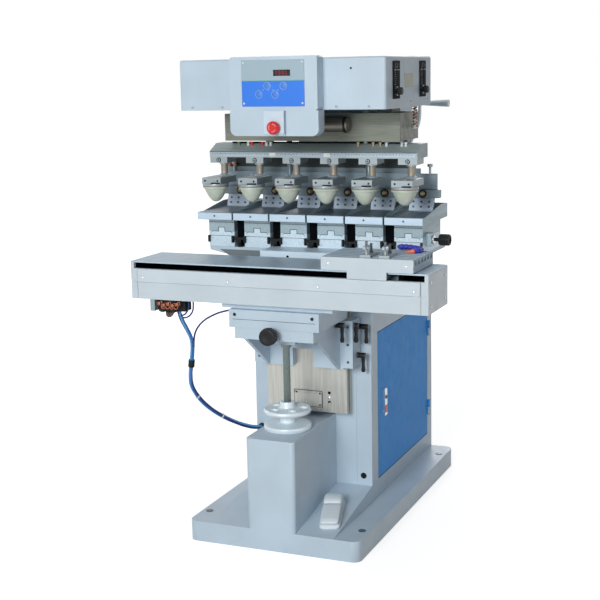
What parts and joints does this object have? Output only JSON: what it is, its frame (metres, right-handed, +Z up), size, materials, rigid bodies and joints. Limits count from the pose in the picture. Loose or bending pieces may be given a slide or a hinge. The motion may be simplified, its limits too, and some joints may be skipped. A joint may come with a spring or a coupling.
{
  "type": "multicolour pad printing machine",
  "caption": "Floor-standing shuttle pad printer with lifting knee table, ink trays, sliding pad head and cabinet.",
  "frame": {"origin": "centre of the base's footprint, on the floor", "axes": "+Z up, -Y towards the operator, X along the shuttle table"},
  "size_m": [1.044, 1.09, 1.606],
  "materials": {
    "body_paint": "satin",
    "blue_paint": "satin",
    "table_paint": "satin",
    "ground_steel": "satin",
    "way_steel": "satin",
    "bright_steel": "gloss",
    "aluminium": "satin",
    "tray_aluminium": "satin",
    "black_plastic": "matte",
    "silicone": "satin",
    "red_plastic": "gloss",
    "panel_film": "satin",
    "pedal_plastic": "satin",
    "hose_blue": "satin",
    "brass": "satin",
    "electrics": "matte"
  },
  "bodies": {
    "machine_frame": {"base_plinth": "body_paint", "pedestal": "body_paint", "cabinet_shell": "body_paint", "control_backplate": "electrics", "way_slab": "way_steel", "deck_bracket": "body_paint", "deck_fascia": "table_paint", "station_bases": "tray_aluminium", "knob_bracket": "tray_aluminium", "column": "body_paint", "head_housing": "table_paint", "guide_shafts": "bright_steel", "control_box": "table_paint", "control_panel": "panel_film", "lower_panel": "table_paint", "stroke_slots": "black_plastic", "pedal_base": "pedal_plastic", "lower_hose": "hose_blue"},
    "door": {"side_door": "blue_paint"},
    "latch": {"door_latch": "bright_steel"},
    "lift_wheel": {"handwheel": "aluminium"},
    "knee": {"knee_bracket": "table_paint", "knee_gibs": "table_paint", "lift_screw": "ground_steel", "hose_sleeve": "black_plastic"},
    "saddle_clamp": {"saddle_lever": "black_plastic"},
    "upper_gib_clamp": {"upper_gib_lever": "black_plastic"},
    "middle_gib_clamp": {"middle_gib_lever": "black_plastic"},
    "lower_gib_clamp": {"lower_gib_lever": "black_plastic"},
    "feed_knob": {"cross_knob": "black_plastic"},
    "table": {"cross_slide": "table_paint", "table_channel": "table_paint", "table_cover": "table_paint", "shuttle_rail": "ground_steel", "valve_block": "brass", "air_nozzle": "panel_film", "upper_hose": "hose_blue"},
    "shuttle": {"shuttle_carriage": "aluminium", "shuttle_plate": "aluminium", "shuttle_apron": "table_paint", "fixture_clamps": "ground_steel"},
    "tray_1": {"station_1": "tray_aluminium"},
    "tray_2": {"station_2": "tray_aluminium"},
    "tray_3": {"station_3": "tray_aluminium"},
    "tray_4": {"station_4": "tray_aluminium"},
    "tray_5": {"station_5": "tray_aluminium"},
    "tray_6": {"station_6": "tray_aluminium"},
    "tray_knob": {"station_knob": "black_plastic"},
    "carriage": {"carriage_beam": "tray_aluminium", "thrust_cylinder": "ground_steel"},
    "pad_row": {"pad_beam": "aluminium", "pad_hangers": "aluminium", "print_pads": "silicone"},
    "doctor": {"doctor_beam": "aluminium", "blade_holders": "ground_steel"},
    "stop_button": {"emergency_stop": "red_plastic"},
    "front_stop_knob": {"front_stroke_knob": "black_plastic"},
    "rear_stop_knob": {"rear_stroke_knob": "black_plastic"},
    "crank": {"stroke_crank": "bright_steel"},
    "treadle": {"pedal_treadle": "pedal_plastic"}
  },
  "joints": [
    {"name": "door_hinge", "type": "hinge", "parent": "machine_frame", "child": "door", "pos_m": [0.224, 0.487, 0.41], "axis": [0, 0, 1], "range_deg": [0, 110]},
    {"name": "latch_turn", "type": "hinge", "parent": "door", "child": "latch", "pos_m": [0.2238, -0.038, 0.4445], "axis": [0, -1, 0], "range_deg": [0, 35]},
    {"name": "handwheel_turn", "type": "hinge", "parent": "machine_frame", "child": "lift_wheel", "pos_m": [0, -0.39, 0.4], "axis": [0, 0, 1], "range_deg": [-2880, 4320]},
    {"name": "knee_lift", "type": "slide", "parent": "machine_frame", "child": "knee", "axis": [0, 0, 1], "range_m": [-0.06, 0.04], "deforming": ["lower_hose"]},
    {"name": "saddle_lever_turn", "type": "hinge", "parent": "knee", "child": "saddle_clamp", "pos_m": [0.14, -0.3003, 0.724], "axis": [1, 0, 0], "range_deg": [-70, 15]},
    {"name": "upper_gib_lever_turn", "type": "hinge", "parent": "knee", "child": "upper_gib_clamp", "pos_m": [0.19, -0.2343, 0.712], "axis": [1, 0, 0], "range_deg": [-70, 15]},
    {"name": "middle_gib_lever_turn", "type": "hinge", "parent": "knee", "child": "middle_gib_clamp", "pos_m": [0.19, -0.1963, 0.702], "axis": [1, 0, 0], "range_deg": [-70, 15]},
    {"name": "lower_gib_lever_turn", "type": "hinge", "parent": "knee", "child": "lower_gib_clamp", "pos_m": [0.19, -0.2063, 0.604], "axis": [1, 0, 0], "range_deg": [-70, 15]},
    {"name": "cross_knob_turn", "type": "hinge", "parent": "knee", "child": "feed_knob", "pos_m": [0, -0.5, 0.722], "axis": [0, 1, 0], "range_deg": [-1800, 1350]},
    {"name": "cross_feed", "type": "slide", "parent": "knee", "child": "table", "axis": [0, 1, 0], "range_m": [-0.02, 0.015], "deforming": ["upper_hose"]},
    {"name": "shuttle_slide", "type": "slide", "parent": "table", "child": "shuttle", "axis": [1, 0, 0], "range_m": [-0.652, 0]},
    {"name": "tray_knob_turn", "type": "hinge", "parent": "machine_frame", "child": "tray_knob", "pos_m": [0.42, -0.095, 0.994], "axis": [1, 0, 0], "range_deg": [-360, 360]},
    {"name": "carriage_slide", "type": "slide", "parent": "machine_frame", "child": "carriage", "axis": [0, 1, 0], "range_m": [-0.195, 0.055]},
    {"name": "pad_stroke", "type": "slide", "parent": "carriage", "child": "pad_row", "axis": [0, 0, 1], "range_m": [-0.036, 0.005]},
    {"name": "doctor_lift", "type": "slide", "parent": "carriage", "child": "doctor", "axis": [0, 0, 1], "range_m": [0, 0.02]},
    {"name": "stop_push", "type": "slide", "parent": "machine_frame", "child": "stop_button", "axis": [0, 1, 0], "range_m": [0, 0.004], "stiffness_N_per_m": 2000, "springref_m": -0.002},
    {"name": "front_stroke_set", "type": "slide", "parent": "machine_frame", "child": "front_stop_knob", "axis": [0, 0, 1], "range_m": [-0.013, 0.083]},
    {"name": "rear_stroke_set", "type": "slide", "parent": "machine_frame", "child": "rear_stop_knob", "axis": [0, 0, 1], "range_m": [-0.013, 0.083]},
    {"name": "crank_turn", "type": "hinge", "parent": "machine_frame", "child": "crank", "pos_m": [0.17, 0.405, 1.284], "axis": [1, 0, 0], "continuous": true},
    {"name": "treadle_press", "type": "hinge", "parent": "machine_frame", "child": "treadle", "pos_m": [0.15463, -0.38561, 0.11492], "axis": [0.9659, 0.2558, 0.0392], "range_deg": [0, 3], "stiffness_Nm_per_rad": 12, "springref_deg": -3.44},
    {"name": "tray_1_adjust", "type": "slide", "parent": "machine_frame", "child": "tray_1", "axis": [0, 1, 0], "range_m": [-0.005, 0.005]},
    {"name": "tray_2_adjust", "type": "slide", "parent": "machine_frame", "child": "tray_2", "axis": [0, 1, 0], "range_m": [-0.005, 0.005]},
    {"name": "tray_3_adjust", "type": "slide", "parent": "machine_frame", "child": "tray_3", "axis": [0, 1, 0], "range_m": [-0.005, 0.005]},
    {"name": "tray_4_adjust", "type": "slide", "parent": "machine_frame", "child": "tray_4", "axis": [0, 1, 0], "range_m": [-0.005, 0.005]},
    {"name": "tray_5_adjust", "type": "slide", "parent": "machine_frame", "child": "tray_5", "axis": [0, 1, 0], "range_m": [-0.005, 0.005]},
    {"name": "tray_6_adjust", "type": "slide", "parent": "machine_frame", "child": "tray_6", "axis": [0, 1, 0], "range_m": [-0.005, 0.005]}
  ],
  "couplings": [
    {"joint": "handwheel_turn", "follows": "knee_lift", "rad_per_m": -1256.6},
    {"joint": "cross_knob_turn", "follows": "cross_feed", "rad_per_m": 1570.8}
  ]
}
